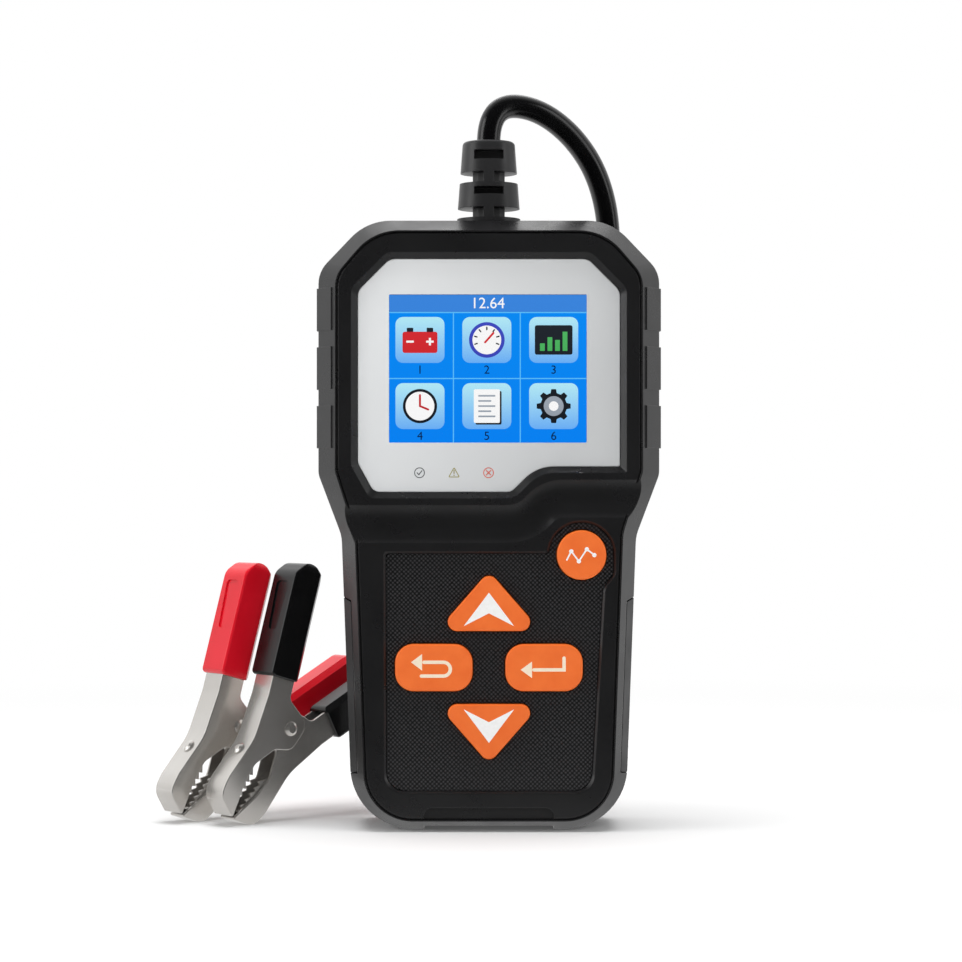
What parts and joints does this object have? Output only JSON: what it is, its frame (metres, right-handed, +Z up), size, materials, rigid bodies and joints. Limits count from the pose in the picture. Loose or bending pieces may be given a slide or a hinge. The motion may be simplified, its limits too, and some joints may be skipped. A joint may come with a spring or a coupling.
{
  "type": "battery tester",
  "caption": "Handheld battery tester: bevelled case with stepped screen window, keypad, segmented cable boot, and a cable that splits to red and black spring clamps.",
  "frame": {"origin": "bottom centre of the case without the cable, leads and clamps; the tester stands upright on it", "axes": "+Z up along the case, +X to the right seen from the screen, -Y out of the screen"},
  "size_m": [0.1501, 0.1367, 0.2177],
  "materials": {
    "case_plastic": "fine satin texture",
    "grip_rubber": "satin",
    "lens_acrylic": "polished, with a clear window",
    "lcd_panel": "backlit",
    "light_clear": "polished",
    "inlay_plastic": "fine woven texture",
    "key_silicone": "satin",
    "board_laminate": "solder resist",
    "switch_plastic": "moulded",
    "screw_steel": "black zinc",
    "boot_rubber": "satin",
    "cable_pvc": "smooth",
    "red_pvc": "smooth",
    "black_pvc": "smooth",
    "nickel_steel": "nickel plated",
    "spring_steel": "drawn wire"
  },
  "bodies": {
    "tester": {"front_housing": "case_plastic", "rear_housing": "case_plastic", "side_grip_left": "grip_rubber", "side_grip_right": "grip_rubber", "display_lens": "lens_acrylic", "lcd_module": "lcd_panel", "indicator_light_1": "light_clear", "indicator_light_2": "light_clear", "indicator_light_3": "light_clear", "keypad_panel": "inlay_plastic", "main_board": "board_laminate", "up_switch": "switch_plastic", "down_switch": "switch_plastic", "escape_switch": "switch_plastic", "enter_switch": "switch_plastic", "waveform_switch": "switch_plastic", "buzzer": "switch_plastic", "case_screw_upper_left": "screw_steel", "case_screw_upper_right": "screw_steel", "case_screw_lower_left": "screw_steel", "case_screw_lower_right": "screw_steel", "strain_relief": "boot_rubber", "tester_cable": "cable_pvc", "cable_splitter": "cable_pvc", "black_lead": "black_pvc", "red_lead": "red_pvc", "black_base_jaw": "nickel_steel", "black_base_teeth": "nickel_steel", "black_base_stud": "nickel_steel", "black_base_sleeve": "black_pvc", "black_pivot_rivet": "nickel_steel", "black_spring": "spring_steel", "red_base_jaw": "nickel_steel", "red_base_teeth": "nickel_steel", "red_base_stud": "nickel_steel", "red_base_sleeve": "red_pvc", "red_pivot_rivet": "nickel_steel", "red_spring": "spring_steel"},
    "up_key_cap": {"up_key": "key_silicone"},
    "down_key_cap": {"down_key": "key_silicone"},
    "escape_key_cap": {"escape_key": "key_silicone"},
    "enter_key_cap": {"enter_key": "key_silicone"},
    "waveform_key_cap": {"waveform_key": "key_silicone"},
    "black_lift_half": {"black_lift_jaw": "nickel_steel", "black_lift_teeth": "nickel_steel", "black_lift_stud": "nickel_steel", "black_lift_sleeve": "black_pvc"},
    "red_lift_half": {"red_lift_jaw": "nickel_steel", "red_lift_teeth": "nickel_steel", "red_lift_stud": "nickel_steel", "red_lift_sleeve": "red_pvc"}
  },
  "joints": [
    {"name": "up_key_press", "type": "slide", "parent": "tester", "child": "up_key_cap", "axis": [0, 1, 0], "range_m": [0, 0.001], "stiffness_N_per_m": 300},
    {"name": "down_key_press", "type": "slide", "parent": "tester", "child": "down_key_cap", "axis": [0, 1, 0], "range_m": [0, 0.001], "stiffness_N_per_m": 300},
    {"name": "escape_key_press", "type": "slide", "parent": "tester", "child": "escape_key_cap", "axis": [0, 1, 0], "range_m": [0, 0.001], "stiffness_N_per_m": 300},
    {"name": "enter_key_press", "type": "slide", "parent": "tester", "child": "enter_key_cap", "axis": [0, 1, 0], "range_m": [0, 0.001], "stiffness_N_per_m": 300},
    {"name": "waveform_key_press", "type": "slide", "parent": "tester", "child": "waveform_key_cap", "axis": [0, 1, 0], "range_m": [0, 0.001], "stiffness_N_per_m": 300},
    {"name": "black_clamp_hinge", "type": "hinge", "parent": "tester", "child": "black_lift_half", "pos_m": [-0.0623, 0.0115, 0.0277], "axis": [-0.6428, 0.766, 0], "range_deg": [0, 30], "stiffness_Nm_per_rad": 0.35, "springref_deg": -29.79, "deforming": ["black_spring"]},
    {"name": "red_clamp_hinge", "type": "hinge", "parent": "tester", "child": "red_lift_half", "pos_m": [-0.078, 0.018, 0.0277], "axis": [-0.6428, 0.766, 0], "range_deg": [0, 30], "stiffness_Nm_per_rad": 0.35, "springref_deg": -29.79, "deforming": ["red_spring"]}
  ]
}
